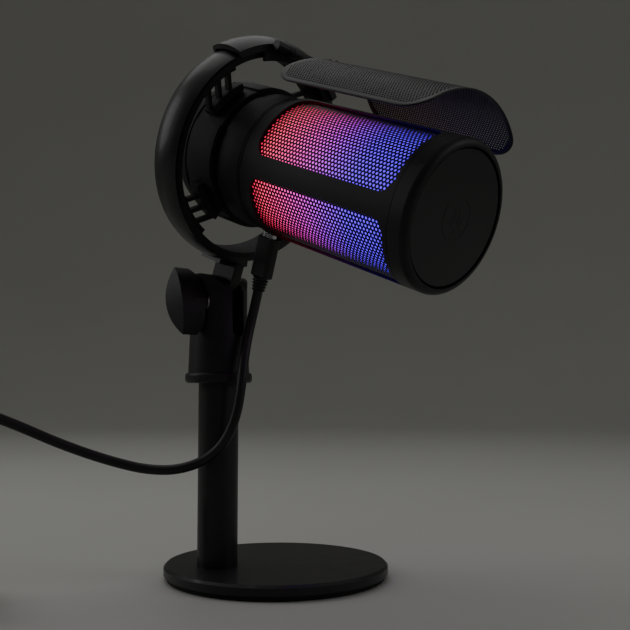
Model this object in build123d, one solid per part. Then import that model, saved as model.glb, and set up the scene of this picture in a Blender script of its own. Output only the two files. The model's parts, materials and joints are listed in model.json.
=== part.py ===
"""Desktop USB microphone on a round weighted base, held by a ring-shaped shock mount.

Units are millimetres, +Z is up and the origin is the centre of the base's underside.
+X is the level direction that the microphone points along, and the tilt axis runs along Y.

The head's parts are drawn in the ring's own frame: X runs forward along the microphone's axis,
Z runs away from the stem and the origin is the ring's centre. HEAD places that frame in the row.
"""
from build123d import *
import math
import os

# ---------------------------------------------------------------- driving dimensions
# base and post
BASE_RADIUS = 55.0
BASE_TOP = 7.1
PAD_THICKNESS = 2.0
POST_X, POST_Y = -14.6, -25.9
POST_RADIUS = 9.75
POST_WALL = 1.5
POST_TOP = 97.0
STUD_RADIUS = 7.94
STUD_TOP = 112.0
SCREW_RADIUS = 4.0

# swivel: tapered sleeve that turns on the post and ends in the tilt fork
COLLAR_BOTTOM, COLLAR_TOP, COLLAR_RADIUS = 95.0, 100.1, 16.3
SLEEVE_FOOT_RADIUS, SLEEVE_TOP_RADIUS = 14.9, 13.8
SLOT_HALF = 3.6
SLOT_BOTTOM = 117.3
FORK_ROUND = 14.0
TILT_Z = 134.0
BOLT_RADIUS = 3.0
RUNNING = 0.08

# head: where the ring's centre sits and how far the microphone points down
HEAD_TILT = 21.14
RING_FORWARD, RING_Z = 24.49, 203.92
STEM_X, STEM_Z = 2.4, -74.05
RING_OUTER, RING_INNER = 52.6, 46.95
RING_BACK, RING_FRONT = -10.5, 5.25
BODY_ROLL = 4.5
BODY_RADIUS = 32.3
REAR_RADIUS = 31.2
TAIL_X, CAGE_X, STEP_X, CAP_X, NOSE_X = -17.0, 27.0, 30.0, 113.0, 122.0
WINDOW_BACK, WINDOW_FRONT, WINDOW_CORNER = 33.5, 111.0, 6.0
RIB_HALF_ANGLE = 9.1
HUB_BACK, HUB_FRONT, HUB_RADIUS, PAD_RADIUS = -14.0, 7.0, 32.6, 33.4
HUB_PAD_HALF_ANGLE = 21.5
ARM_X = -2.5
ARM_SLANT = 25.0
ARM_PITCH = 6.0
FOOT_OUTER, FOOT_INNER = 43.6, 36.4
DISC_RADIUS = 28.5
FLOAT_GAP = 0.35

# crown clip on the ring and the pop filter that it carries
CLIP_ROLL = -3.8
CLIP_HALF_ANGLE = 40.0
FLANGE_HALF_ANGLE = 24.0
HINGE_X, HINGE_Z = 9.8, 50.2
ARM_Y = 8.5
FILTER_BACK, FILTER_FRONT = 33.5, 115.5
FILTER_RADIUS, FILTER_SHEET, FILTER_CENTRE_Z = 47.2, 0.7, 2.6
FILTER_HALF_ANGLE = 51.0
FILTER_CORNER = 10.0

# USB-C port, plug and cable
PORT_X = 21.2
PLUG_TOP, PLUG_BOTTOM, RELIEF_END = 34.8, 54.2, 61.2
CABLE_RADIUS = 2.35
COIL_X, COIL_Y, COIL_RADIUS, COIL_HALF, COIL_BOTTOM = -76.4, -155.0, 28.0, 7.15, 0.8
TAIL_TURN = -12.0

POST = Pos(POST_X, POST_Y, 0)
HEAD = Pos(POST_X + RING_FORWARD, POST_Y, RING_Z) * Rot(0, HEAD_TILT, 0)
MIC = HEAD * Rot(BODY_ROLL, 0, 0)
CLIP = HEAD * Rot(CLIP_ROLL, 0, 0)
COIL = Pos(COIL_X, COIL_Y, 0)


# ---------------------------------------------------------------- small helpers
def rod_x(radius, x0, x1):
    return Pos((x0 + x1) / 2, 0, 0) * Rot(0, 90, 0) * Cylinder(radius, x1 - x0)


def rod_y(radius, y0, y1, x=0.0, z=0.0):
    return Pos(x, (y0 + y1) / 2, z) * Rot(90, 0, 0) * Cylinder(radius, y1 - y0)


def rod_z(radius, z0, z1, x=0.0, y=0.0):
    return Pos(x, y, (z0 + z1) / 2) * Cylinder(radius, z1 - z0)


def tube_x(outer, inner, x0, x1):
    return rod_x(outer, x0, x1) - rod_x(inner, x0 - 1, x1 + 1)


def block(x0, x1, y0, y1, z0, z1):
    return Pos((x0 + x1) / 2, (y0 + y1) / 2, (z0 + z1) / 2) * Box(x1 - x0, y1 - y0, z1 - z0)


def turned_x(*lines):
    """A closed profile in x and radius, turned about the X axis."""
    return revolve(make_face([edge for line in lines for edge in line.edges()]), Axis.X)


def turned_z(points):
    """A closed polygon of (radius, z), turned about the Z axis."""
    outline = Polyline(*[(r, 0, z) for r, z in points], close=True)
    return revolve(make_face(outline), Axis.Z)


def sector_x(half_angle, x0, x1, radius=80.0):
    """A wedge about the X axis, centred on +Z, to trim a ring with."""
    a = math.radians(half_angle)
    side, top = radius * math.sin(a), radius * math.cos(a)
    outline = Polyline((x0, 0, 0), (x0, side, top), (x0, 0, radius * 1.5), (x0, -side, top), close=True)
    return extrude(make_face(outline), x1 - x0, dir=(1, 0, 0))


def hexagon_y(across_flats, y0, y1):
    """A hexagonal prism on the tilt axis."""
    flat = RegularPolygon(across_flats / 2, 6, major_radius=False)
    return Rot(90, 0, 0) * Pos(0, 0, -y1) * extrude(flat, y1 - y0)


nodes = {}


# ---------------------------------------------------------------- stand
def make_stand():
    plate = turned_z([
        (0, PAD_THICKNESS), (BASE_RADIUS - 0.6, PAD_THICKNESS), (BASE_RADIUS, PAD_THICKNESS + 0.6),
        (BASE_RADIUS, BASE_TOP - 1.2), (BASE_RADIUS - 1.2, BASE_TOP), (0, BASE_TOP),
    ])
    plate -= POST * rod_z(SCREW_RADIUS + 0.3, 0, BASE_TOP + 1)
    plate -= POST * rod_z(7.6, 0, 4.5)
    nodes["base_plate"] = plate
    pad = rod_z(BASE_RADIUS - 1.4, 0, PAD_THICKNESS) - POST * rod_z(8.2, -1, PAD_THICKNESS + 1)
    nodes["base_pad"] = fillet(pad.edges().group_by(Axis.Z)[0].sort_by(SortBy.RADIUS)[-1:], 0.6)

    screw = rod_z(7.2, 0.6, 4.5) + rod_z(SCREW_RADIUS, 4.5, 19.0)
    socket = extrude(RegularPolygon(3.0, 6, major_radius=False), 2.2)
    nodes["base_screw"] = POST * (screw - Pos(0, 0, 0.6) * socket)

    inner = POST_RADIUS - POST_WALL
    nodes["post_tube"] = POST * (rod_z(POST_RADIUS, BASE_TOP, POST_TOP) - rod_z(inner, 0, POST_TOP + 1))
    foot = rod_z(inner - 0.03, BASE_TOP, 24.0) - rod_z(SCREW_RADIUS + 0.03, 0, 21.0)
    nodes["post_foot_nut"] = POST * foot
    stud = rod_z(inner - 0.03, POST_TOP - 14, POST_TOP) + rod_z(STUD_RADIUS, POST_TOP, STUD_TOP)
    nodes["post_stud"] = POST * chamfer(stud.edges().group_by(Axis.Z)[-1], 1.0)


# ---------------------------------------------------------------- swivel and tilt fork
def make_swivel():
    fork_top = TILT_Z + FORK_ROUND
    fork = turned_z([
        (0, COLLAR_TOP - 2.6), (SLEEVE_FOOT_RADIUS, COLLAR_TOP - 2.6), (SLEEVE_FOOT_RADIUS, COLLAR_TOP),
        (SLEEVE_TOP_RADIUS, TILT_Z - 4), (SLEEVE_TOP_RADIUS, fork_top), (0, fork_top),
    ])
    dome = block(-20, 20, -20, 20, 90, TILT_Z) + rod_y(FORK_ROUND, -20, 20, z=TILT_Z)
    fork &= dome
    slot = rod_x(SLOT_HALF, -20, 20)
    fork -= Pos(0, 0, SLOT_BOTTOM + SLOT_HALF) * slot
    fork -= block(-20, 20, -SLOT_HALF, SLOT_HALF, SLOT_BOTTOM + SLOT_HALF, fork_top + 5)
    fork -= rod_z(11.05, 90, 114.5)
    fork -= rod_y(BOLT_RADIUS + RUNNING, -20, 20, z=TILT_Z)
    fork -= rod_y(7.2, -20, -12.2, z=TILT_Z)
    fork -= Pos(0, 0, TILT_Z) * hexagon_y(10.3, 8.4, 20)
    nodes["swivel_fork"] = POST * fork

    collar = rod_z(COLLAR_RADIUS, COLLAR_BOTTOM, COLLAR_TOP)
    collar = fillet(collar.edges(), 1.6)
    collar -= rod_z(SLEEVE_FOOT_RADIUS, COLLAR_TOP - 2.6, COLLAR_TOP + 1)
    nodes["swivel_collar"] = POST * (collar - rod_z(POST_RADIUS + RUNNING, 90, COLLAR_TOP + 1))

    insert = rod_z(11.0, POST_TOP + 0.5, 113.5) - rod_z(STUD_RADIUS + RUNNING, 90, 112.6)
    nodes["thread_insert"] = POST * insert

    axis = POST * Pos(0, 0, TILT_Z)
    nut = hexagon_y(10.0, 8.5, 13.5) - rod_y(BOLT_RADIUS + RUNNING, 8, 14)
    nodes["tilt_nut"] = axis * nut
    washer = rod_y(6.6, 3.06, 3.56) - rod_y(BOLT_RADIUS + RUNNING, 3, 4)
    nodes["friction_washers"] = Compound(children=[axis * washer, axis * Rot(0, 0, 180) * washer])
    nodes["knob_washer"] = axis * (rod_y(6.6, -13.2, -12.2) - rod_y(BOLT_RADIUS + RUNNING, -14, -12))


def make_knob():
    """A wing knob with a leaf-shaped grip, moulded round the head of the tilt bolt."""
    axis = POST * Pos(0, 0, TILT_Z) * Rot(0, -11.5, 0)
    bolt = rod_y(BOLT_RADIUS, -20.0, 13.4) + hexagon_y(10.0, -24.0, -20.0)
    nodes["tilt_bolt"] = axis * bolt

    half_length, half_thickness = 16.5, 6.0
    bow = (half_length ** 2 + half_thickness ** 2) / (2 * half_thickness)
    leaf = rod_y(bow, -30, -14.6, x=bow - half_thickness) & rod_y(bow, -30, -14.6, x=half_thickness - bow)
    dome = (half_length ** 2 + 2.8 ** 2) / (2 * 2.8)
    leaf &= Pos(0, dome - 28.8, 0) * Rot(0, 90, 0) * Cylinder(dome, 20)
    side = Polyline((0, -14.6, 12.6), (0, -17.4, 16.8), (0, -31, 16.8), (0, -31, -16.8),
                    (0, -17.4, -16.8), (0, -14.6, -12.6), close=True)
    leaf &= extrude(make_face(side), 8, dir=(1, 0, 0), both=True)
    knob = leaf + rod_y(6.2, -22.0, -13.5)
    nodes["wing_knob"] = axis * (knob - bolt)


# ---------------------------------------------------------------- ring mount
def make_ring():
    middle = (RING_BACK + RING_FRONT) / 2
    seat = 49.3
    band = turned_x(
        Polyline((RING_FRONT, RING_OUTER - 1.6), (RING_FRONT - 0.4, seat), (RING_BACK + 0.4, seat),
                 (RING_BACK, RING_OUTER - 1.6)),
        Spline((RING_BACK, RING_OUTER - 1.6), (middle, RING_OUTER), (RING_FRONT, RING_OUTER - 1.6)),
    )
    liner = tube_x(seat - 0.05, RING_INNER, RING_BACK + 0.4, RING_FRONT - 0.4)

    stem_top = -RING_OUTER + 0.6
    stem = block(STEM_X - 7, STEM_X + 7, -3, 3, STEM_Z, stem_top)
    stem += rod_y(7, -3, 3, x=STEM_X, z=STEM_Z)
    saddle = tube_x(RING_OUTER + 1.5, RING_OUTER - 3, RING_BACK + 1.6, RING_FRONT - 0.4)
    saddle &= Rot(180, 0, 0) * sector_x(10, -20, 20)
    stem = stem + saddle - turned_x(
        Polyline((RING_FRONT, RING_OUTER - 1.6), (RING_FRONT, 0), (RING_BACK, 0),
                 (RING_BACK, RING_OUTER - 1.6)),
        Spline((RING_BACK, RING_OUTER - 1.6), (middle, RING_OUTER), (RING_FRONT, RING_OUTER - 1.6)),
    )
    stem -= rod_y(BOLT_RADIUS + RUNNING, -4, 4, x=STEM_X, z=STEM_Z)

    screws, holes = [], []
    for x in (STEM_X - 5.0, STEM_X):
        head = rod_z(2.3, -seat - 1.6, -seat - 0.2, x=x)
        screws.append(rod_z(1.5, stem_top - 7, -seat - 1.6, x=x) + head)
        holes += [rod_z(1.5, stem_top - 7.5, -seat + 1, x=x), rod_z(2.3, -seat - 1.6, -seat + 1, x=x)]
    band = band - holes
    stem = stem - holes
    nodes["shock_ring"] = HEAD * band
    nodes["ring_liner"] = HEAD * liner
    nodes["ring_stem"] = HEAD * stem
    nodes["stem_screws"] = Compound(children=[HEAD * s for s in screws])


def make_suspension_arm(name, angle):
    """A moulded rubber arm: a foot on the ring, three slanted bars and a foot beside the hub."""
    outer_foot = tube_x(RING_INNER - 0.03, FOOT_OUTER, ARM_X - 3, ARM_X + 3) & sector_x(14, -20, 20)
    inner_foot = tube_x(FOOT_INNER, HUB_RADIUS + FLOAT_GAP, ARM_X - 3, ARM_X + 3) & sector_x(17, -20, 20)
    bars = [
        Rot(-ARM_SLANT, 0, 0) * block(ARM_X - 1.3, ARM_X + 1.3, k * ARM_PITCH - 1, k * ARM_PITCH + 1, 20, 60)
        for k in (-1, 0, 1)
    ]
    shift = 40.5 * math.tan(math.radians(ARM_SLANT)) * math.cos(math.radians(ARM_SLANT))
    span = tube_x(FOOT_OUTER + 0.4, FOOT_INNER - 0.4, ARM_X - 3, ARM_X + 3)
    arm = outer_foot + inner_foot
    for bar in bars:
        arm += (Rot(-ARM_SLANT, 0, 0) * Pos(0, -shift, 0) * Rot(ARM_SLANT, 0, 0) * bar) & span
    nodes[name] = MIC * Rot(-angle, 0, 0) * arm


# ---------------------------------------------------------------- microphone body
def make_housings():
    hub = tube_x(HUB_RADIUS, REAR_RADIUS + 0.03, HUB_BACK, HUB_FRONT)
    hub += tube_x(PAD_RADIUS - 0.3, REAR_RADIUS + 0.03, HUB_BACK, HUB_BACK + 2.6)
    for k in range(4):
        pad = tube_x(PAD_RADIUS, HUB_RADIUS - 0.5, HUB_BACK + 4, HUB_FRONT) & sector_x(HUB_PAD_HALF_ANGLE, -20, 20)
        hub += Rot(90 * k, 0, 0) * pad
    nodes["suspension_hub"] = MIC * hub

    shell = tube_x(REAR_RADIUS, REAR_RADIUS - 2, TAIL_X, CAGE_X)
    for x in (HUB_FRONT + 0.6, HUB_FRONT + 2.0, CAGE_X - 3.4, CAGE_X - 2.0):
        shell -= tube_x(REAR_RADIUS + 1, REAR_RADIUS - 0.35, x, x + 0.5)
    slot = Pos(PORT_X, 0, -REAR_RADIUS) * extrude(SlotOverall(10.4, 4.6), 6, both=True)
    nodes["rear_housing"] = MIC * (shell - slot)

    cap = rod_x(REAR_RADIUS, TAIL_X - 3.5, TAIL_X)
    cap = fillet(cap.edges().group_by(Axis.X)[0], 2.4)
    cap += tube_x(REAR_RADIUS - 2.06, REAR_RADIUS - 4, TAIL_X - 0.5, TAIL_X + 5)
    nodes["rear_cap"] = MIC * cap

    cage = turned_x(Polyline(
        (CAGE_X, REAR_RADIUS), (STEP_X - 1.2, REAR_RADIUS), (STEP_X, BODY_RADIUS), (CAP_X, BODY_RADIUS),
        (CAP_X, 31.0), (CAGE_X + 2, 31.0), (CAGE_X + 2, REAR_RADIUS - 2), (CAGE_X, REAR_RADIUS - 2),
        close=True,
    ))
    half_width = BODY_RADIUS * math.sin(math.radians(45 - RIB_HALF_ANGLE))
    opening = RectangleRounded(WINDOW_FRONT - WINDOW_BACK, 2 * half_width, WINDOW_CORNER)
    cutter = Pos((WINDOW_BACK + WINDOW_FRONT) / 2, 0, 20) * extrude(opening, 20)
    for k in range(4):
        cage -= Rot(45 + 90 * k, 0, 0) * cutter
    nodes["body_cage"] = MIC * cage

    cup = turned_x(
        Polyline((CAP_X + 0.2, BODY_RADIUS), (CAP_X + 0.2, 30.2), (NOSE_X - 4.4, 30.2), (NOSE_X - 4.4, 24.0),
                 (NOSE_X - 2.6, 24.0), (NOSE_X - 2.6, DISC_RADIUS + 0.5), (NOSE_X, DISC_RADIUS + 0.5),
                 (NOSE_X, DISC_RADIUS + 1.0)),
        ThreePointArc((NOSE_X, DISC_RADIUS + 1.0), (NOSE_X - 0.85, BODY_RADIUS - 0.85),
                      (NOSE_X - 2.8, BODY_RADIUS)),
        Line((NOSE_X - 2.8, BODY_RADIUS), (CAP_X + 0.2, BODY_RADIUS)),
    )
    nodes["front_cap"] = MIC * cup
    disc = rod_x(DISC_RADIUS, NOSE_X - 2.6, NOSE_X - 0.5)
    nodes["front_disc"] = MIC * chamfer(disc.edges().group_by(Axis.X)[-1], 0.5)


def make_electronics():
    nodes["window_mesh"] = MIC * tube_x(30.9, 30.3, CAGE_X + 2.2, CAP_X - 0.4)
    nodes["light_diffuser"] = MIC * tube_x(30.0, 28.8, CAGE_X + 2.2, CAP_X - 0.4)
    core = tube_x(22.0, 20.4, CAGE_X + 1, CAP_X - 1) + tube_x(28.6, 20.4, CAGE_X - 1, CAGE_X + 1)
    nodes["light_core"] = MIC * core
    nodes["led_flex_board"] = MIC * tube_x(22.45, 22.05, CAGE_X + 4, CAP_X - 10)
    chips = []
    for column in range(8):
        for row in range(5):
            chip = block(-1.75, 1.75, -1.75, 1.75, 22.5, 24.0)
            chips.append(MIC * Rot(45 * column + 22.5, 0, 0) * Pos(CAGE_X + 13 + 15 * row, 0, 0) * chip)
    nodes["led_chips"] = Compound(children=chips)

    holder = rod_x(20.3, 92, 99) - rod_x(7.05, 91, 97) - rod_x(5.5, 96, 100)
    nodes["capsule_holder"] = MIC * holder
    capsule = rod_x(7.0, 88, 96.9)
    nodes["mic_capsule"] = MIC * (capsule - tube_x(8, 6.6, 89.5, 90.2))

    board = block(TAIL_X + 6, CAGE_X - 1.5, -18, 18, -22.0, -20.4)
    nodes["main_board"] = MIC * board
    parts = [(-6, -9, 7, 7, 1.4), (6, 8, 10, 10, 1.6), (17, -10, 5, 4, 1.2), (-6, 10, 4, 6, 2.4), (16, 10, 3, 3, 1.0)]
    packages = [MIC * block(x, x + a, y - b / 2, y + b / 2, -20.4, -20.4 + h) for x, y, a, b, h in parts]
    nodes["board_components"] = Compound(children=packages)
    nodes["touch_board"] = MIC * (rod_x(20, NOSE_X - 5.8, NOSE_X - 4.6) - block(100, 130, -4, 4, 12, 30))

    pillars = []
    for angle in (30, 150, 270):
        screw = Pos(0, 0, 26.4) * (rod_x(1.25, 104, NOSE_X - 4.4) + rod_x(2.3, NOSE_X - 4.4, NOSE_X - 2.8))
        pillars.append(Rot(angle, 0, 0) * screw)
    nodes["front_cap"] -= MIC * Compound(children=pillars)
    nodes["cap_screws"] = Compound(children=[MIC * p for p in pillars])
    ring = tube_x(28.6, 22.1, 103.5, 110.5)
    for p in pillars:
        ring -= p
    nodes["cap_screw_ring"] = MIC * ring


def make_port_and_plug():
    """The socket points down through the housing, and the plug sits in it with its shell part out."""
    down = MIC * Pos(PORT_X, 0, 0) * Rot(180, 0, 0)
    body = extrude(SlotOverall(8.94, 3.2), 7.6)
    hollow = extrude(SlotOverall(8.4, 2.6), 7.0)
    nodes["usb_c_socket"] = down * (Pos(0, 0, 23.0) * body - Pos(0, 0, 23.9) * hollow)
    nodes["usb_c_shell"] = down * Pos(0, 0, 24.6) * extrude(SlotOverall(8.25, 2.4), PLUG_TOP - 24.6)

    grip = extrude(RectangleRounded(11.4, 6.2, 2.2), PLUG_BOTTOM - PLUG_TOP)
    nodes["usb_c_overmould"] = down * Pos(0, 0, PLUG_TOP) * fillet(grip.edges().group_by(Axis.Z)[-1], 0.8)
    relief = Pos(0, 0, (PLUG_BOTTOM + RELIEF_END) / 2) * Cone(3.9, 2.9, RELIEF_END - PLUG_BOTTOM)
    nodes["plug_relief"] = down * relief


# ---------------------------------------------------------------- crown clip and pop filter
def make_clip():
    """A saddle that hooks over the ring's rim and carries two hinge knuckles at its front."""
    lip, reach = RING_OUTER + 0.35, 50.0
    saddle = turned_x(
        Polyline((7.2, lip + 0.3), (7.2, reach), (5.65, reach), (5.65, lip - 0.8)),
        ThreePointArc((5.65, lip - 0.8), (-2.6, lip + 0.1), (-10.9, lip - 0.8)),
        Polyline((-10.9, lip - 0.8), (-10.9, reach), (-12.4, reach), (-12.4, lip + 0.3)),
        ThreePointArc((-12.4, lip + 0.3), (-2.6, 55.6), (7.2, lip + 0.3)),
    )
    saddle &= sector_x(CLIP_HALF_ANGLE, -20, 20)
    bracket = tube_x(50.6, 45.6, 5.65, 7.2) & sector_x(FLANGE_HALF_ANGLE, -20, 20)
    clip = saddle + bracket
    pin_hole = rod_y(1.22, -30, 30, x=HINGE_X, z=HINGE_Z)
    for y0, y1 in ((-17.5, -10.3), (-6.7, 6.7), (10.3, 17.5)):
        clip += rod_y(2.3, y0, y1, x=HINGE_X, z=HINGE_Z)
        clip += block(6.4, HINGE_X, y0, y1, HINGE_Z - 2.3, HINGE_Z - 0.4)
    nodes["crown_clip"] = CLIP * (clip - pin_hole)
    nodes["hinge_pin"] = CLIP * rod_y(1.2, -17.5, 17.5, x=HINGE_X, z=HINGE_Z)


def make_filter():
    """An arched sheet over the microphone, held at its back edge by two hinged straps."""
    sheet = tube_x(FILTER_RADIUS + FILTER_SHEET, FILTER_RADIUS, FILTER_BACK, FILTER_FRONT)
    sheet = Pos(0, 0, FILTER_CENTRE_Z) * sheet
    reach = FILTER_RADIUS * math.sin(math.radians(FILTER_HALF_ANGLE))
    outline = RectangleRounded(FILTER_FRONT - FILTER_BACK, 2 * reach, FILTER_CORNER)
    sheet &= Pos((FILTER_BACK + FILTER_FRONT) / 2, 0, 10) * extrude(outline, 60)

    straps, rivets = [], []
    for y in (-ARM_Y, ARM_Y):
        flat = FILTER_CENTRE_Z + math.sqrt(FILTER_RADIUS ** 2 - (abs(y) + 1.6) ** 2) - 0.02
        strap = rod_y(2.3, y - 1.5, y + 1.5, x=HINGE_X, z=HINGE_Z)
        strap += block(HINGE_X, FILTER_BACK + 9, y - 1.5, y + 1.5, flat - 1.4, flat)
        strap -= rod_y(1.26, y - 3, y + 3, x=HINGE_X, z=HINGE_Z)
        for x in (FILTER_BACK + 3, FILTER_BACK + 7):
            rivet = rod_z(0.75, flat - 1.8, flat + 1.3, x=x, y=y) + rod_z(1.3, flat - 1.9, flat - 1.4, x=x, y=y)
            rivets.append(rivet)
            strap -= rivet
            sheet -= rod_z(0.75, 40, 60, x=x, y=y)
        straps.append(strap)
    nodes["pop_filter"] = CLIP * sheet
    nodes["pop_filter_straps"] = Compound(children=[CLIP * s for s in straps])
    nodes["strap_rivets"] = Compound(children=[CLIP * r for r in rivets])


# ---------------------------------------------------------------- cable
def corner_radii(points):
    """The largest arc that each corner of a route has room for."""
    vectors = [Vector(*p) for p in points]
    radii = []
    for before, corner, after in zip(vectors, vectors[1:], vectors[2:]):
        turn = math.radians((corner - before).get_angle(after - corner))
        run = min((corner - before).length, (after - corner).length)
        radii.append(0.45 * run / math.tan(turn / 2))
    return radii


def make_tube(name, points):
    path = FilletPolyline(*points, radius=corner_radii(points))
    start = Plane(origin=path @ 0, z_dir=path % 0)
    nodes[name] = sweep(start * Circle(CABLE_RADIUS), path=path)


# the route below the plug: past the sleeve, down, round to the left and over to the coil
CABLE_ROUTE = [
    (4.1, -24.1, 118.5), (5.8, -28.6, 106.0), (7.4, -31.9, 92.5), (6.4, -34.0, 79.0), (1.9, -37.0, 67.0),
    (-6.4, -42.0, 58.5), (-16.1, -50.6, 54.3), (-25.3, -61.4, 54.8), (-32.8, -73.3, 58.5),
    (-38.2, -86.8, 63.5), (-42.3, -101.1, 69.5), (-45.3, -115.0, 76.0), (-46.5, -130.2, 82.0),
    (-47.2, -146.1, 85.5), (-46.4, -162.1, 81.0), (-45.1, -174.9, 70.5), (-43.4, -183.0, 54.0),
    (-42.9, -186.2, 37.0), (-45.8, -187.6, 21.5), (-53.5, -189.5, 9.5), (-64.5, -189.6, 3.6),
    (-78.4, -187.7, 3.15),
]
# the free end above the coil, from the coil's middle
TAIL_ROUTE = [
    (-14.9, -17.8, 12.7), (-22.0, -10.7, 17.4), (-24.3, -2.0, 18.6), (-22.0, 6.7, 19.1),
    (-15.6, 13.1, 19.1), (-6.9, 15.4, 19.1), (1.9, 13.5, 19.1),
]


def make_cable():
    """A tube from the plug to the coil, the coiled spare length with its tie, and the USB-A end."""
    leave = MIC * Pos(PORT_X, 0, -RELIEF_END)
    straight = MIC * Pos(PORT_X, 0, -RELIEF_END - 9.6)
    make_tube("cable_tube", [tuple(leave.position), tuple(straight.position)] + CABLE_ROUTE)

    middle = COIL_BOTTOM + COIL_HALF
    section = Plane.XZ * Pos(COIL_RADIUS, middle) * RectangleRounded(2 * COIL_HALF, 2 * COIL_HALF, 2.2)
    coil = COIL * revolve(section, Axis.Z)
    band = Box(2 * COIL_HALF + 2.4, 9, 2 * COIL_HALF + 2 * COIL_BOTTOM)
    tie = COIL * Rot(0, 0, -45) * Pos(COIL_RADIUS, 0, middle) * band - coil

    make_tube("cable_tail", [(COIL_X + x, COIL_Y + y, z) for x, y, z in TAIL_ROUTE])
    nodes["cable_coil"] = coil - nodes["cable_tube"] - nodes["cable_tail"]
    nodes["cable_tie"] = tie

    along = COIL * Pos(*TAIL_ROUTE[-1]) * Rot(0, 0, TAIL_TURN) * Rot(0, 90, 0)
    relief = Pos(0, 0, 3.5) * Cone(2.8, 3.6, 7)
    grip = Pos(0, 0, 7) * extrude(RectangleRounded(8.0, 15.6, 2.2), 22)
    nodes["usb_a_relief"] = along * relief - nodes["cable_tail"]
    nodes["usb_a_overmould"] = along * fillet(grip.edges().group_by(Axis.Z)[0], 1.2)
    shell = extrude(RectangleRounded(4.5, 12.0, 0.5), 14) - Pos(0, 0, 2) * extrude(Rectangle(3.9, 11.4), 14)
    tongue = Pos(0.9, 0, 2) * extrude(Rectangle(1.8, 11.2), 11.2)
    nodes["usb_a_shell"] = along * Pos(0, 0, 29) * shell
    nodes["usb_a_tongue"] = along * Pos(0, 0, 29) * tongue


make_stand()
make_swivel()
make_knob()
make_ring()
for index in range(4):
    make_suspension_arm(f"suspension_arm_{index + 1}", 45 + 90 * index)
make_housings()
make_electronics()
make_port_and_plug()
make_clip()
make_filter()
make_cable()

os.makedirs("parts", exist_ok=True)
for node_name, solid in nodes.items():
    shape = Compound(children=list(solid)) if isinstance(solid, (list, tuple)) else solid
    export_step(shape, f"parts/{node_name}.step")
print(len(nodes), "nodes")
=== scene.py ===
"""Looks for the desktop microphone: materials, the perforated panels, the cable, lights and camera."""
import json
import math

import bpy
from mathutils import Matrix, Vector


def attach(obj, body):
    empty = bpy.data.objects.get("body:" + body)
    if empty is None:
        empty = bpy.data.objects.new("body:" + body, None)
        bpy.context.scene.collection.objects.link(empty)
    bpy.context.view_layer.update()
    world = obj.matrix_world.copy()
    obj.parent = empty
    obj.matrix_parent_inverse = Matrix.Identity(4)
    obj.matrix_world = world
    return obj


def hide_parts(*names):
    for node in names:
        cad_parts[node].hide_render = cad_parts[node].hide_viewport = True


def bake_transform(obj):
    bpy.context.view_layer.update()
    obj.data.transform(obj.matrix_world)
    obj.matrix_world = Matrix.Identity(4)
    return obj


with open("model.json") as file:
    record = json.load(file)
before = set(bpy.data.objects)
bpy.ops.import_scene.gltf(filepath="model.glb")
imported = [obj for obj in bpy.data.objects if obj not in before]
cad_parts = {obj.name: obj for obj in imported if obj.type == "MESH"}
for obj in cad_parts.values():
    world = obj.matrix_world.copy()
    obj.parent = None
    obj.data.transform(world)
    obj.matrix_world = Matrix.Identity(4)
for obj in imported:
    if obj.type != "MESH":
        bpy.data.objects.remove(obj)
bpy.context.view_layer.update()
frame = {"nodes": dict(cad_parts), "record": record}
nodes = frame["nodes"]
MM = 0.001

# ---------------------------------------------------------------- where things are, in millimetres
CAMERA_AT, CAMERA_LOOK = (0.3218, -0.3351, 0.0959), (-0.6606, 0.7473, 0.0715)  # metres, direction
SENSOR_WIDTH, LENS_OVER_WIDTH = 36.0, 1.466984126984127
POST_X, POST_Y = -14.6, -25.9
RING_FORWARD, RING_Z, HEAD_TILT = 24.49, 203.92, 21.14
BODY_ROLL, CLIP_ROLL = 4.5, -3.8
NOSE_X = 122.0
PORT_X, PLUG_BOTTOM, RELIEF_END = 21.2, 54.2, 61.2
WINDOW_BACK, WINDOW_FRONT, WINDOW_HALF_ANGLE = 33.5, 111.0, 36.4
PANEL_RADIUS, PANEL_THICK, PANEL_EDGE_U, PANEL_EDGE_V = 30.9, 0.22, 1.6, 1.8
FILTER_BACK, FILTER_FRONT, FILTER_RADIUS, FILTER_CENTRE_Z = 33.5, 115.5, 47.9, 2.6
FILTER_HALF_ANGLE, FILTER_CORNER, FILTER_THICK = 51.0, 11.6, 0.3
FILTER_EDGE, FILTER_RIM = 1.0, 2.3  # depths inside the outline where the sheet starts and its holes start
WINDOW_PITCH, WINDOW_HOLE = 1.86, 0.60  # a hole's size is from its centre to a corner
FILTER_PITCH, FILTER_HOLE = 1.35, 0.46
CABLE_DIAMETER, CABLE_LEAD = 4.7, 9.6
RELIEF_SEGMENTS, RELIEF_EDGE = 40, 0.12
SYMBOL_LINE, SYMBOL_SCALE, SYMBOL_FLAT, SYMBOL_SINK = 0.20, 1.1, 0.45, 0.5
ARM_X, FOOT_OUTER, FOOT_INNER = -2.5, 43.6, 36.4
COIL_X, COIL_Y, COIL_RADIUS, COIL_FLOOR = -76.4, -155.0, 28.0, 3.15
COIL_TURNS, COIL_LAST_ARC, COIL_GAP = 8, 36.5, 0.08
SWEEP_FLAT, SWEEP_CURVE, SWEEP_TOP, SWEEP_STEPS = 1.5, 1.1, 2.4, 72  # metres


def placed(roll):
    """The ring's frame, rolled about the microphone's axis, in the row frame."""
    at = Matrix.Translation(Vector((POST_X + RING_FORWARD, POST_Y, RING_Z)) * MM)
    tilted = at @ Matrix.Rotation(math.radians(HEAD_TILT), 4, "Y")
    return tilted @ Matrix.Rotation(math.radians(roll), 4, "X")


MIC, CLIP = placed(BODY_ROLL), placed(CLIP_ROLL)
AXIS = (MIC.to_3x3() @ Vector((1, 0, 0))).normalized()


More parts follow.
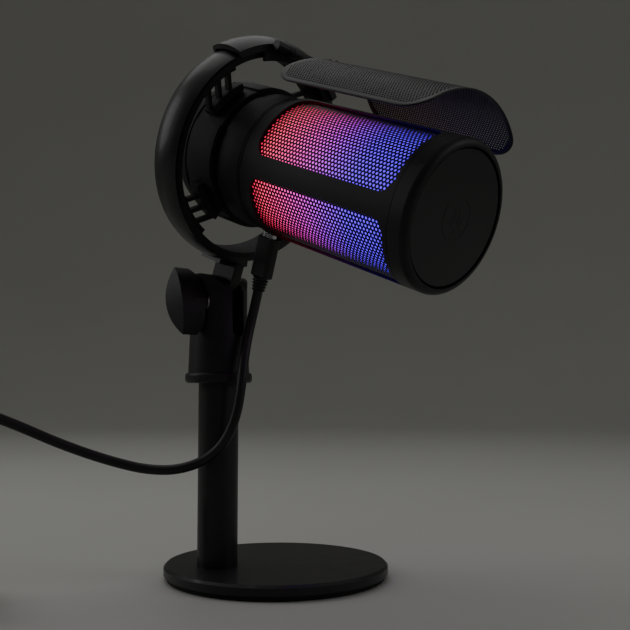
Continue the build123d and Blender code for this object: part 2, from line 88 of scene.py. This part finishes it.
# ---------------------------------------------------------------- camera
def add_camera():
    camera = bpy.data.objects.new("camera", bpy.data.cameras.new("camera"))
    bpy.context.scene.collection.objects.link(camera)
    camera.location = CAMERA_AT
    camera.rotation_euler = Vector(CAMERA_LOOK).to_track_quat("-Z", "Y").to_euler()
    camera.data.sensor_width = SENSOR_WIDTH
    camera.data.lens = LENS_OVER_WIDTH * SENSOR_WIDTH
    camera.data.clip_start = 0.01
    bpy.context.scene.camera = camera


# ---------------------------------------------------------------- materials
def link(tree, source, output, target, socket):
    tree.links.new(source.outputs[output], target.inputs[socket])


def finish(name, colour, roughness, metallic=0.0, shift=0.25, mottle=60, grain=2500, bump=0.08, coat=0.0,
           stretch=(1, 1, 1), rough_shift=0.08):
    """A surface with slow colour and gloss variation and a fine grain in relief."""
    material = bpy.data.materials.new(name)
    material.use_nodes = True
    tree = material.node_tree
    shader = tree.nodes["Principled BSDF"]
    shader.inputs["Metallic"].default_value = metallic
    shader.inputs["Coat Weight"].default_value = coat
    shader.inputs["Specular IOR Level"].default_value = 0.5 if metallic else 0.34
    where = tree.nodes.new("ShaderNodeTexCoord")
    mapping = tree.nodes.new("ShaderNodeMapping")
    mapping.inputs["Scale"].default_value = stretch
    link(tree, where, "Object", mapping, "Vector")

    slow = tree.nodes.new("ShaderNodeTexNoise")
    slow.inputs["Scale"].default_value = mottle
    slow.inputs["Detail"].default_value = 4
    link(tree, mapping, "Vector", slow, "Vector")
    tones = tree.nodes.new("ShaderNodeValToRGB")
    tones.color_ramp.elements[0].position = 0.3
    tones.color_ramp.elements[1].position = 0.7
    tones.color_ramp.elements[0].color = [c * (1 - shift) for c in colour] + [1]
    tones.color_ramp.elements[1].color = [min(1, c * (1 + shift)) for c in colour] + [1]
    link(tree, slow, "Fac", tones, "Fac")
    link(tree, tones, "Color", shader, "Base Color")

    gloss = tree.nodes.new("ShaderNodeMapRange")
    gloss.inputs["To Min"].default_value = roughness - rough_shift
    gloss.inputs["To Max"].default_value = roughness + rough_shift
    link(tree, slow, "Fac", gloss, "Value")
    link(tree, gloss, "Result", shader, "Roughness")

    fine = tree.nodes.new("ShaderNodeTexNoise")
    fine.inputs["Scale"].default_value = grain
    fine.inputs["Detail"].default_value = 3
    link(tree, mapping, "Vector", fine, "Vector")
    relief = tree.nodes.new("ShaderNodeBump")
    relief.inputs["Strength"].default_value = bump
    relief.inputs["Distance"].default_value = 0.0003
    link(tree, fine, "Fac", relief, "Height")
    link(tree, relief, "Normal", shader, "Normal")
    return material


def glowing(name):
    """The lit diffuser: red at the back, through magenta, to blue at the front."""
    material = finish(name, (0.6, 0.6, 0.62), 0.5)
    tree = material.node_tree
    shader = tree.nodes["Principled BSDF"]
    where = tree.nodes.new("ShaderNodeTexCoord")
    from_ring = tree.nodes.new("ShaderNodeVectorMath")
    from_ring.operation = "SUBTRACT"
    from_ring.inputs[1].default_value = MIC.translation
    link(tree, where, "Object", from_ring, 0)
    along = tree.nodes.new("ShaderNodeVectorMath")
    along.operation = "DOT_PRODUCT"
    along.inputs[1].default_value = AXIS
    link(tree, from_ring, 0, along, 0)
    reach = tree.nodes.new("ShaderNodeMapRange")
    reach.inputs["From Min"].default_value = WINDOW_BACK * MM
    reach.inputs["From Max"].default_value = WINDOW_FRONT * MM
    link(tree, along, "Value", reach, "Value")
    ramp = tree.nodes.new("ShaderNodeValToRGB")
    stops = [(0.0, (0.5, 0.01, 0.04)), (0.07, (1.0, 0.03, 0.11)), (0.20, (1.0, 0.03, 0.27)),
             (0.40, (0.72, 0.02, 0.66)), (0.58, (0.32, 0.0, 1.0)), (0.72, (0.12, 0.0, 1.0)),
             (0.93, (0.09, 0.0, 1.0)), (1.0, (0.03, 0.0, 0.35))]
    ramp.color_ramp.elements.remove(ramp.color_ramp.elements[0])
    for index, (position, colour) in enumerate(stops):
        stop = ramp.color_ramp.elements[0] if index == 0 else ramp.color_ramp.elements.new(position)
        stop.position = position
        stop.color = (*colour, 1)
    link(tree, reach, "Result", ramp, "Fac")
    link(tree, ramp, "Color", shader, "Emission Color")
    shader.inputs["Emission Strength"].default_value = 2.2
    return material


FINISHES = {
    "base_metal": finish("base_metal", (0.012, 0.012, 0.014), 0.42, 0.0, grain=1600, bump=0.22, coat=0.15),
    "ring_metal": finish("ring_metal", (0.010, 0.010, 0.012), 0.38, 0.0, grain=2200, bump=0.12, coat=0.1),
    "fork_metal": finish("fork_metal", (0.016, 0.016, 0.018), 0.44, 0.0, grain=2000, bump=0.15),
    "clip_metal": finish("clip_metal", (0.018, 0.018, 0.020), 0.45, 0.0, grain=2400, bump=0.12, coat=0.1),
    "filter_metal": finish("filter_metal", (0.012, 0.012, 0.014), 0.5, 0.0, grain=2600, bump=0.10),
    "mesh_metal": finish("mesh_metal", (0.012, 0.012, 0.014), 0.5, 0.0, grain=2600, bump=0.06),
    "body_plastic": finish("body_plastic", (0.009, 0.009, 0.011), 0.52, 0.0, grain=3200, bump=0.25),
    "cap_plastic": finish("cap_plastic", (0.008, 0.008, 0.010), 0.46, 0.0, grain=3200, bump=0.18),
    "knob_plastic": finish("knob_plastic", (0.016, 0.016, 0.018), 0.5, 0.0, grain=2600, bump=0.22),
    "disc_plastic": finish("disc_plastic", (0.010, 0.010, 0.013), 0.34, 0.0, grain=3600, bump=0.08, coat=0.1),
    "core_plastic": finish("core_plastic", (0.6, 0.6, 0.6), 0.5),
    "inner_plastic": finish("inner_plastic", (0.03, 0.03, 0.03), 0.55),
    "soft_rubber": finish("soft_rubber", (0.012, 0.012, 0.013), 0.68, 0.0, grain=2600, bump=0.2),
    "pad_rubber": finish("pad_rubber", (0.012, 0.012, 0.012), 0.8, 0.0, grain=1800, bump=0.4),
    "cable_rubber": finish("cable_rubber", (0.015, 0.015, 0.016), 0.42, 0.0, grain=2200, bump=0.1),
    "plug_plastic": finish("plug_plastic", (0.015, 0.015, 0.016), 0.48, 0.0, grain=2800, bump=0.18),
    "tongue_plastic": finish("tongue_plastic", (0.7, 0.7, 0.72), 0.4),
    "black_steel": finish("black_steel", (0.022, 0.022, 0.024), 0.36, 0.4, grain=2200, bump=0.05),
    "steel": finish("steel", (0.42, 0.42, 0.44), 0.3, 1.0, shift=0.1, stretch=(1, 1, 12)),
    "nickel": finish("nickel", (0.62, 0.62, 0.63), 0.22, 1.0, shift=0.08, bump=0.03),
    "brass": finish("brass", (0.62, 0.44, 0.17), 0.3, 1.0, shift=0.12),
    "board": finish("board", (0.02, 0.13, 0.06), 0.4, 0.0, mottle=300),
    "chip": finish("chip", (0.03, 0.03, 0.03), 0.45),
    "led": finish("led", (0.85, 0.85, 0.8), 0.3),
    "diffuser_plastic": glowing("diffuser_plastic"),
}


def dress_nodes():
    """Every CAD node takes the finish of its slot in the record."""
    slots = {part["node"]: part["material_slot"] for part in frame["record"]["subparts"]}
    for name, thing in nodes.items():
        thing.data.materials.clear()
        thing.data.materials.append(FINISHES[slots[name]])


def new_piece(name, vertices, faces, slot, body, place=None, smooth=False):
    """A mesh in millimetres, moved to its place in the row frame and given a finish and a body."""
    mesh = bpy.data.meshes.new(name)
    mesh.from_pydata([tuple(v) for v in vertices], [], faces)
    mesh.transform(Matrix.Scale(MM, 4))
    if place is not None:
        mesh.transform(place)
    mesh.validate()
    mesh.materials.append(FINISHES[slot])
    if smooth:
        mesh.shade_smooth()
    piece = bpy.data.objects.new(name, mesh)
    bpy.context.scene.collection.objects.link(piece)
    if body:
        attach(piece, body)
    return piece


# ---------------------------------------------------------------- perforated sheets
def perforate(bend, width, height, kind, pitch, hole):
    """A honeycomb of cells over a width by height sheet. kind(u, v) says whether a cell is absent (0),
    solid (1) or has a hole (2), and bend(u, v) gives its place on the curved sheet."""
    vertices, faces, index = [], [], {}

    def corner(u, v):
        key = (round(u, 3), round(v, 3))
        if key not in index:
            index[key] = len(vertices)
            vertices.append(bend(u, v))
        return index[key]

    row_step = pitch * math.sqrt(3) / 2
    reach = pitch / math.sqrt(3)
    turns = [math.radians(30 + 60 * k) for k in range(6)]
    rows, columns = int(height / row_step / 2) + 1, int(width / pitch / 2) + 1
    for row in range(-rows, rows + 1):
        for column in range(-columns, columns + 1):
            u, v = (column + 0.5 * (row % 2)) * pitch, row * row_step
            state = kind(u, v)
            if not state:
                continue
            outer = [corner(u + reach * math.cos(a), v + reach * math.sin(a)) for a in turns]
            if state == 1:
                faces.append(outer)
                continue
            first = len(vertices)
            vertices += [bend(u + hole * math.cos(a), v + hole * math.sin(a)) for a in turns]
            for k in range(6):
                n = (k + 1) % 6
                faces.append([outer[k], outer[n], first + n, first + k])
    return vertices, faces


def thicken(piece, thickness):
    solid = piece.modifiers.new("thickness", "SOLIDIFY")
    solid.thickness = thickness * MM
    solid.offset = -1


def add_window_panels():
    """Four perforated panels behind the cage's openings, over the lit diffuser."""
    middle = (WINDOW_BACK + WINDOW_FRONT) / 2
    half_u = (WINDOW_FRONT - WINDOW_BACK) / 2
    half_v = math.radians(WINDOW_HALF_ANGLE) * PANEL_RADIUS

    def bend(u, v):
        angle = v / PANEL_RADIUS
        return middle + u, PANEL_RADIUS * math.sin(angle), PANEL_RADIUS * math.cos(angle)

    def kind(u, v):
        if abs(u) > half_u + PANEL_EDGE_U or abs(v) > half_v + PANEL_EDGE_V:
            return 0
        return 2 if abs(u) < half_u and abs(v) < half_v else 1

    vertices, faces = perforate(bend, 2 * half_u + 6, 2 * half_v + 6, kind, WINDOW_PITCH, WINDOW_HOLE)
    all_vertices, all_faces = [], []
    for k in range(4):
        turn = Matrix.Rotation(math.radians(45 + 90 * k), 3, "X")
        start = len(all_vertices)
        all_vertices += [turn @ Vector(v) for v in vertices]
        all_faces += [[i + start for i in face] for face in faces]
    panels = new_piece("window_panels", all_vertices, all_faces, "mesh_metal", "microphone", MIC)
    thicken(panels, PANEL_THICK)
    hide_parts("window_mesh")


def rounded_outline(half_u, half_v, radius, steps=10):
    points = []
    for quarter, (su, sv) in enumerate(((1, 1), (-1, 1), (-1, -1), (1, -1))):
        for step in range(steps + 1):
            a = math.radians(90 * quarter + 90 * step / steps)
            points.append((su * (half_u - radius) + radius * math.cos(a),
                           sv * (half_v - radius) + radius * math.sin(a)))
    return points


def add_pop_filter():
    """The arched filter: a perforated sheet in a plain pressed border."""
    middle, half_u = (FILTER_BACK + FILTER_FRONT) / 2, (FILTER_FRONT - FILTER_BACK) / 2
    half_v = math.radians(FILTER_HALF_ANGLE) * FILTER_RADIUS

    def bend(u, v, lift=0.0):
        angle, radius = v / FILTER_RADIUS, FILTER_RADIUS + lift
        return middle + u, radius * math.sin(angle), FILTER_CENTRE_Z + radius * math.cos(angle)

    def inset(u, v):
        """How far a point lies inside the outline."""
        du, dv = abs(u) - (half_u - FILTER_CORNER), abs(v) - (half_v - FILTER_CORNER)
        if du > 0 and dv > 0:
            return FILTER_CORNER - math.hypot(du, dv)
        return FILTER_CORNER - max(du, dv)

    def kind(u, v):
        depth = inset(u, v)
        return 0 if depth < FILTER_EDGE else 1 if depth < FILTER_RIM else 2

    shape = perforate(bend, 2 * half_u, 2 * half_v, kind, FILTER_PITCH, FILTER_HOLE)
    sheet = new_piece("filter_sheet", *shape, "filter_metal", "filter", CLIP)
    thicken(sheet, FILTER_THICK)

    loops = []
    for depth, lift in ((0.15, -0.05), (0.0, -0.25), (0.0, -0.5), (0.15, -0.7), (1.9, -0.7), (2.1, -0.6),
                        (2.1, -0.12), (1.8, 0.0), (0.5, 0.04)):
        outline = rounded_outline(half_u - depth, half_v - depth, FILTER_CORNER - depth)
        sides = []
        for (u0, v0), (u1, v1) in zip(outline, outline[1:] + outline[:1]):
            pieces = max(1, int(math.hypot(u1 - u0, v1 - v0) / 3))
            sides += [(u0 + (u1 - u0) * k / pieces, v0 + (v1 - v0) * k / pieces) for k in range(pieces)]
        loops.append((sides, lift))
    count = len(loops[0][0])
    assert all(len(sides) == count for sides, _ in loops)
    vertices = [bend(u, v, lift) for sides, lift in loops for u, v in sides]
    faces = []
    for ring in range(len(loops)):
        above = (ring + 1) % len(loops)
        for k in range(count):
            n = (k + 1) % count
            faces.append([ring * count + k, ring * count + n, above * count + n, above * count + k])
    border = new_piece("filter_border", vertices, faces, "filter_metal", "filter", CLIP, smooth=True)
    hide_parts("pop_filter")
    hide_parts("pop_filter")


# ---------------------------------------------------------------- plug relief and mute symbol
def lathe(profile, segments=RELIEF_SEGMENTS):
    """A closed turned solid about Z from (radius, z) pairs that start and end on the axis."""
    vertices, faces = [(0, 0, profile[0][1])], []
    rings = profile[1:-1]
    for radius, z in rings:
        for k in range(segments):
            a = 2 * math.pi * k / segments
            vertices.append((radius * math.cos(a), radius * math.sin(a), z))
    vertices.append((0, 0, profile[-1][1]))
    last = len(vertices) - 1
    for k in range(segments):
        n = (k + 1) % segments
        faces.append([0, 1 + n, 1 + k])
        for ring in range(len(rings) - 1):
            a, b = 1 + ring * segments, 1 + (ring + 1) * segments
            faces.append([a + k, a + n, b + n, b + k])
        faces.append([last, 1 + (len(rings) - 1) * segments + k, 1 + (len(rings) - 1) * segments + n])
    return vertices, faces


def add_relief():
    """The ribbed strain relief under the USB-C plug."""
    profile = [(0, 0), (3.9, 0), (3.9, 0.5)]
    for k in range(4):
        z, radius = 0.8 + 1.5 * k, 3.85 - 0.22 * k
        profile += [(radius - 0.55, z), (radius - 0.55, z + 0.5), (radius, z + 0.75), (radius, z + 1.25)]
    profile += [(2.75, 6.8), (2.6, 7.0), (0, 7.0)]
    down = MIC @ Matrix.Translation(Vector((PORT_X, 0, 0)) * MM) @ Matrix.Rotation(math.pi, 4, "X")
    place = down @ Matrix.Translation(Vector((0, 0, PLUG_BOTTOM)) * MM)
    relief = new_piece("ribbed_relief", *lathe(profile), "cable_rubber", "microphone", place)
    bevel = relief.modifiers.new("soft_edges", "BEVEL")
    bevel.width = RELIEF_EDGE * MM
    bevel.segments = 2
    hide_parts("plug_relief")
    return relief


def add_mute_symbol():
    """A plain struck-out microphone in a circle, printed on the touch disc."""
    def stroke(points, closed=False):
        spline = curve.splines.new("POLY")
        spline.points.add(len(points) - 1)
        for point, (y, z) in zip(spline.points, points):
            point.co = (0, y, z, 1)
        spline.use_cyclic_u = closed

    def arc(radius, start, end, steps, cy=0.0, cz=0.0):
        angles = [math.radians(start + (end - start) * k / steps) for k in range(steps + 1)]
        return [(cy + radius * math.cos(a), cz + radius * math.sin(a)) for a in angles]

    curve = bpy.data.curves.new("mute_symbol", "CURVE")
    curve.dimensions = "3D"
    curve.bevel_depth = SYMBOL_LINE
    curve.bevel_resolution = 2
    stroke(arc(8.1, 0, 360, 64)[:-1], closed=True)
    stroke(arc(1.7, 0, 180, 12, cz=2.4) + arc(1.7, 180, 360, 12, cz=-0.4), closed=True)
    stroke([(3.3, 0.8)] + arc(3.3, 0, -180, 18, cz=-0.4) + [(-3.3, 0.8)])
    stroke([(0, -3.7), (0, -5.2)])
    stroke([(-1.7, -5.2), (1.7, -5.2)])
    stroke([(-4.3, 4.6), (4.3, -4.6)])
    drawn = bpy.data.objects.new("mute_curve", curve)
    bpy.context.scene.collection.objects.link(drawn)
    bpy.context.view_layer.update()
    mesh = bpy.data.meshes.new_from_object(drawn.evaluated_get(bpy.context.evaluated_depsgraph_get()))
    vertices = [(v.co.x * SYMBOL_FLAT, v.co.y * SYMBOL_SCALE, v.co.z * SYMBOL_SCALE) for v in mesh.vertices]
    faces = [list(p.vertices) for p in mesh.polygons]
    bpy.data.objects.remove(drawn)
    place = MIC @ Matrix.Translation(Vector((NOSE_X - SYMBOL_SINK, 0, 0)) * MM)
    new_piece("mute_symbol", vertices, faces, "filter_metal", "microphone", place, smooth=True)


# ---------------------------------------------------------------- rubber arms
def add_arms():
    """The four suspension arms, copied in place from the CAD arms, which are hidden."""
    for k in range(4):
        node = nodes[f"suspension_arm_{k + 1}"]
        mesh = node.data.copy()
        mesh.transform(node.matrix_world)
        arm = bpy.data.objects.new(f"rubber_arm_{k + 1}", mesh)
        bpy.context.scene.collection.objects.link(arm)
        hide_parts(f"suspension_arm_{k + 1}")
        angle = math.radians(45 + 90 * k)
        start, end = [MIC @ (Vector((ARM_X, reach * math.sin(angle), reach * math.cos(angle))) * MM)
                      for reach in (FOOT_OUTER, FOOT_INNER)]
        tuple(start)
        tuple(end)
        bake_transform(arm)


# ---------------------------------------------------------------- cable
CABLE_ROUTE = [
    (4.1, -24.1, 118.5), (5.8, -28.6, 106.0), (7.4, -31.9, 92.5), (6.4, -34.0, 79.0), (1.9, -37.0, 67.0),
    (-6.4, -42.0, 58.5), (-16.1, -50.6, 54.3), (-25.3, -61.4, 54.8), (-32.8, -73.3, 58.5),
    (-38.2, -86.8, 63.5), (-42.3, -101.1, 69.5), (-45.3, -115.0, 76.0), (-46.5, -130.2, 82.0),
    (-47.2, -146.1, 85.5), (-46.4, -162.1, 81.0), (-45.1, -174.9, 70.5), (-43.4, -183.0, 54.0),
    (-42.9, -186.2, 37.0), (-45.8, -187.6, 21.5), (-53.5, -189.5, 9.5), (-64.5, -189.6, 3.6),
    (-78.4, -187.7, 3.15),
]
TAIL_ROUTE = [
    (-22.0, -10.7, 17.4), (-24.3, -2.0, 18.6), (-22.0, 6.7, 19.1), (-15.6, 13.1, 19.1), (-6.9, 15.4, 19.1),
    (1.9, 13.5, 19.1),
]


def eased(x):
    x = min(1.0, max(0.0, x))
    return x * x * (3 - 2 * x)


def coil_points(steps=20):
    """Turns laid three wide and three high, stepping in, up, out, up and in again as they go round."""
    gap = CABLE_DIAMETER + COIL_GAP
    # (turn, degrees where the step starts and ends, change of column, change of layer)
    moves = [(0, 262, 302, -1, 0), (1, 262, 302, -1, 0), (2, 214, 256, 0, 1), (3, 168, 210, 1, 0),
             (4, 168, 210, 1, 0), (5, 122, 164, 0, 1), (6, 74, 118, -1, 0), (7, 74, 118, -1, 0)]
    join_x, join_y, _ = CABLE_ROUTE[-1]
    start = math.degrees(math.atan2(join_y - COIL_Y, join_x - COIL_X))
    points = []
    for step in range(1, int(steps * (COIL_TURNS + COIL_LAST_ARC / 360)) + 1):
        gone = 360 * step / steps
        column, layer = 1.0, 0.0
        for turn, begin, end, across, up in moves:
            share = eased((gone - 360 * turn - begin) / (end - begin))
            column += across * share
            layer += up * share
        radius = COIL_RADIUS + column * gap
        angle = math.radians(start - gone)
        points.append((COIL_X + radius * math.cos(angle), COIL_Y + radius * math.sin(angle),
                       COIL_FLOOR + layer * gap))
    return points


def add_cable():
    """The whole cable as one tube, in place of the hidden CAD cable pieces."""
    leave = [MIC @ (Vector((PORT_X, 0, -RELIEF_END - extra)) * MM) / MM for extra in (0, CABLE_LEAD)]
    tail = [(COIL_X + x, COIL_Y + y, z) for x, y, z in TAIL_ROUTE]
    route = [tuple(p) for p in leave] + CABLE_ROUTE + coil_points() + tail

    curve = bpy.data.curves.new("cable_line", "CURVE")
    curve.dimensions = "3D"
    curve.resolution_u = 6
    spline = curve.splines.new("NURBS")
    spline.points.add(len(route) - 1)
    for point, place in zip(spline.points, route):
        point.co = (*(Vector(place) * MM), 1)
    spline.order_u = 3
    spline.use_endpoint_u = True
    drawn = bpy.data.objects.new("cable_line", curve)
    bpy.context.scene.collection.objects.link(drawn)
    bpy.context.view_layer.update()
    graph = bpy.context.evaluated_depsgraph_get()
    line = bpy.data.meshes.new_from_object(drawn.evaluated_get(graph))
    path = [tuple(v.co) for v in line.vertices]
    curve.bevel_depth = CABLE_DIAMETER / 2 * MM
    curve.bevel_resolution = 4
    curve.use_fill_caps = True
    bpy.context.view_layer.update()
    tube = bpy.data.meshes.new_from_object(drawn.evaluated_get(bpy.context.evaluated_depsgraph_get()))
    bpy.data.objects.remove(drawn)
    tube.materials.clear()
    tube.materials.append(FINISHES["cable_rubber"])
    tube.shade_smooth()
    cable = bpy.data.objects.new("usb_cable", tube)
    bpy.context.scene.collection.objects.link(cable)
    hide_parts("cable_tube", "cable_coil", "cable_tail")

    far_pieces = ("cable_tie", "usb_a_relief", "usb_a_overmould", "usb_a_shell", "usb_a_tongue")
    on_it = [add_relief()] + [nodes[n] for n in far_pieces]
    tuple(path[0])
    bend_from = Vector(CABLE_ROUTE[3]) * MM
    tuple(path[0])
    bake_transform(cable)


# ---------------------------------------------------------------- floor and light
def add_stage():
    """A round floor that curves up into a wall, a dim world and three soft lights."""
    profile = [(0.3, 0.0), (0.8, 0.0), (SWEEP_FLAT, 0.0)]
    for k in range(1, 16):
        a = math.radians(6 * k)
        profile.append((SWEEP_FLAT + SWEEP_CURVE * math.sin(a), SWEEP_CURVE - SWEEP_CURVE * math.cos(a)))
    profile.append((SWEEP_FLAT + SWEEP_CURVE, SWEEP_TOP))
    steps = SWEEP_STEPS
    turns = [2 * math.pi * k / steps for k in range(steps)]
    vertices = [(r * math.cos(a), r * math.sin(a), z) for r, z in profile for a in turns]
    faces = [list(range(steps))]
    for ring in range(len(profile) - 1):
        low, high = ring * steps, (ring + 1) * steps
        faces += [[low + k, high + k, high + (k + 1) % steps, low + (k + 1) % steps] for k in range(steps)]
    mesh = bpy.data.meshes.new("sweep")
    mesh.from_pydata(vertices, [], faces)
    mesh.shade_smooth()
    sweep = bpy.data.objects.new("sweep", mesh)
    sweep.location.z = -0.0002
    bpy.context.scene.collection.objects.link(sweep)
    surface = finish("sweep", (0.52, 0.52, 0.50), 0.65, shift=0.02, mottle=3, grain=900, bump=0.03)
    mesh.materials.append(surface)

    world = bpy.data.worlds.new("world")
    bpy.context.scene.world = world
    world.use_nodes = True
    world.node_tree.nodes["Background"].inputs["Color"].default_value = (0.42, 0.42, 0.39, 1)
    world.node_tree.nodes["Background"].inputs["Strength"].default_value = 0.4
    for name, place, size, power in (
        ("softbox_top", (-0.3, 0.1, 1.1), 0.9, 2.0),
        ("softbox_left", (-0.9, -0.7, 0.7), 0.7, 2.2),
        ("softbox_right", (0.9, 0.5, 0.6), 0.6, 1.0),
    ):
        light = bpy.data.objects.new(name, bpy.data.lights.new(name, "AREA"))
        light.data.size = size
        light.data.energy = power
        light.location = place
        aim = Vector((0, 0, 0.13)) - Vector(place)
        light.rotation_euler = aim.to_track_quat("-Z", "Y").to_euler()
        bpy.context.scene.collection.objects.link(light)


add_camera()
add_cable()
dress_nodes()
add_window_panels()
add_pop_filter()
add_mute_symbol()
add_arms()
add_stage()
